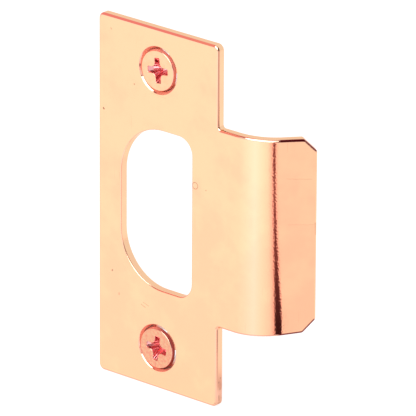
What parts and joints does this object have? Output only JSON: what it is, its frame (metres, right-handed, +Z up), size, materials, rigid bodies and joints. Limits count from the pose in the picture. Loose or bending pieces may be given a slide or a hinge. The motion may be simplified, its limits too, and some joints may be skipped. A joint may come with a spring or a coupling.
{
  "type": "door strike plate",
  "caption": "T-shaped door strike plate with a D-shaped latch hole, a curved lip that turns back around the jamb edge, and flat head screws in its countersunk holes.",
  "frame": {"origin": "middle of the plate's flat back face, midway between the screws; it lies in the latch hole, on the plane of the back face", "axes": "+Z up along the long side of the plate, +X towards the lip, +Y from the back face into the door jamb, so the door side looks towards -Y"},
  "size_m": [0.044, 0.0161, 0.0698],
  "materials": {
    "plate_metal": "polished",
    "screw_metal": "polished"
  },
  "bodies": {
    "root": {"strike_plate": "plate_metal", "screw_upper": "screw_metal", "screw_lower": "screw_metal"}
  },
  "joints": []
}
